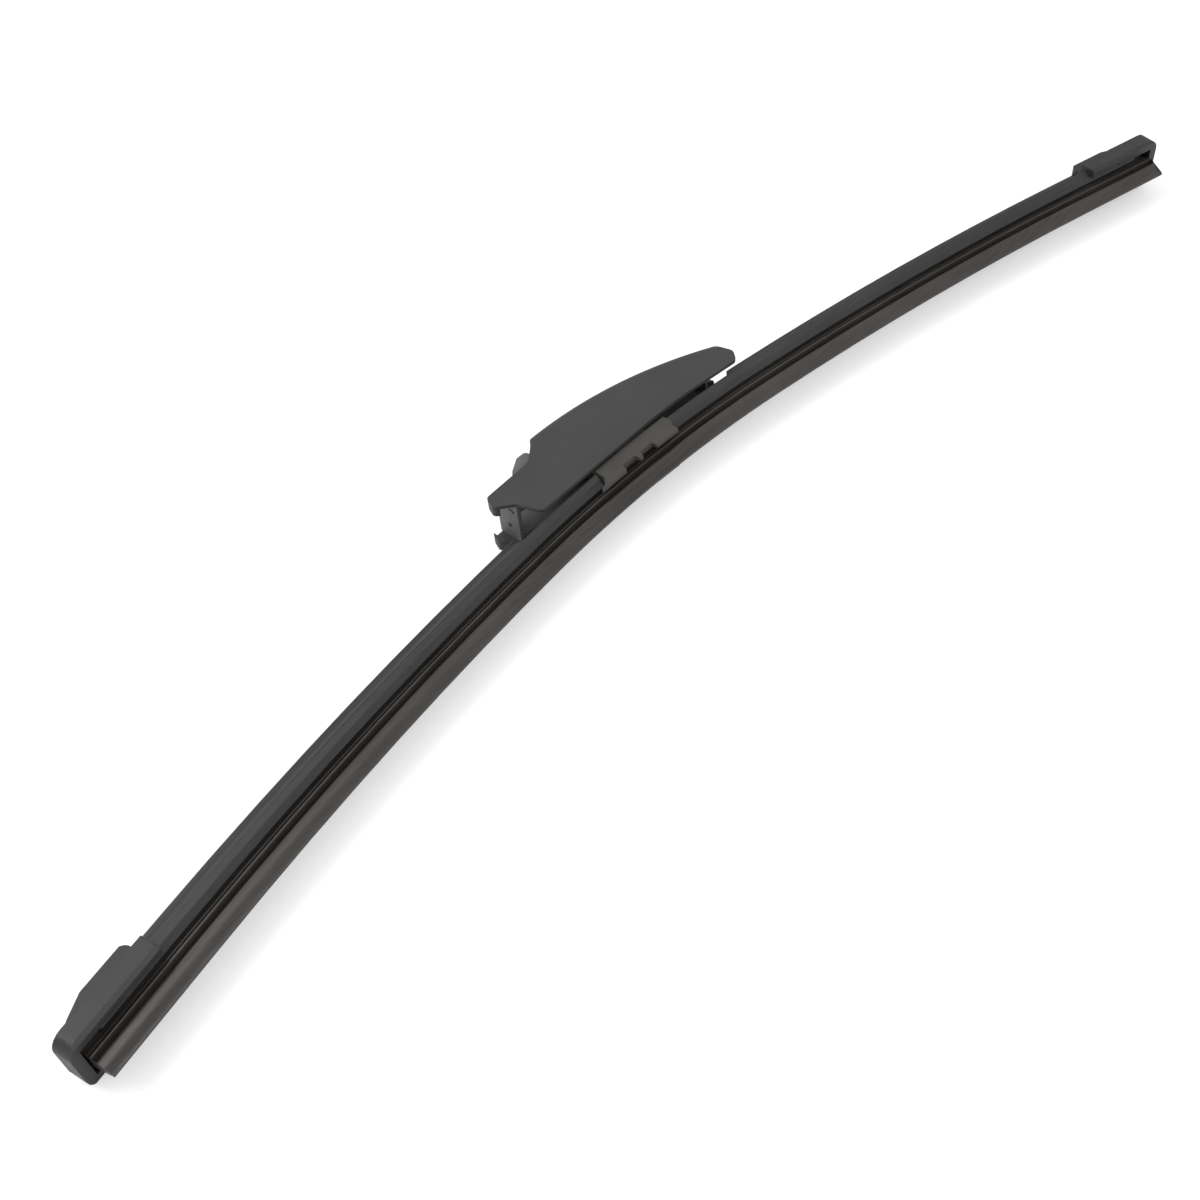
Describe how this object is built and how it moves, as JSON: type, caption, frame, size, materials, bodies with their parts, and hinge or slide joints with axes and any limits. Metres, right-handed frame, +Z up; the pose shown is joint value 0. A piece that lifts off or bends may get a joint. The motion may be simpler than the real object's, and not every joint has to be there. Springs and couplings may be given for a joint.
{
  "type": "wiper blade",
  "caption": "Flat-beam windscreen wiper blade with a rubber squeegee, two spring rails, a finned spoiler, end caps and a rocking hook connector under a slim hood.",
  "frame": {"origin": "middle of the blade's outline on the table it lies on, with the blade resting on its side", "axes": "+X along the blade from the near end to the far end, +Y away from the glass towards the connector's hood, +Z up, across the blade's width"},
  "size_m": [0.4448, 0.0686, 0.018],
  "materials": {
    "wiping_rubber": "matte natural rubber with a faint graphite sheen",
    "spring_steel": "black-coated spring steel",
    "spoiler_rubber": "satin dark grey extruded elastomer",
    "cap_plastic": "fine-grained dark grey moulding",
    "bracket_plastic": "dark warm grey moulding",
    "rivet_steel": "dull plated steel",
    "adapter_plastic": "mid grey moulding",
    "cover_plastic": "fine-grained dark grey moulding"
  },
  "bodies": {
    "blade": {"squeegee": "wiping_rubber", "rail_upper": "spring_steel", "rail_lower": "spring_steel", "spoiler_near": "spoiler_rubber", "spoiler_far": "spoiler_rubber", "cap_near": "cap_plastic", "cap_far": "cap_plastic", "bracket": "bracket_plastic", "rivet": "rivet_steel"},
    "connector": {"adapter": "adapter_plastic", "cover": "cover_plastic"}
  },
  "joints": [
    {"name": "connector_rock", "type": "hinge", "parent": "blade", "child": "connector", "pos_m": [-0.0025, 0.01901, 0.009], "axis": [0, 0, 1], "range_deg": [-8, 10]}
  ]
}
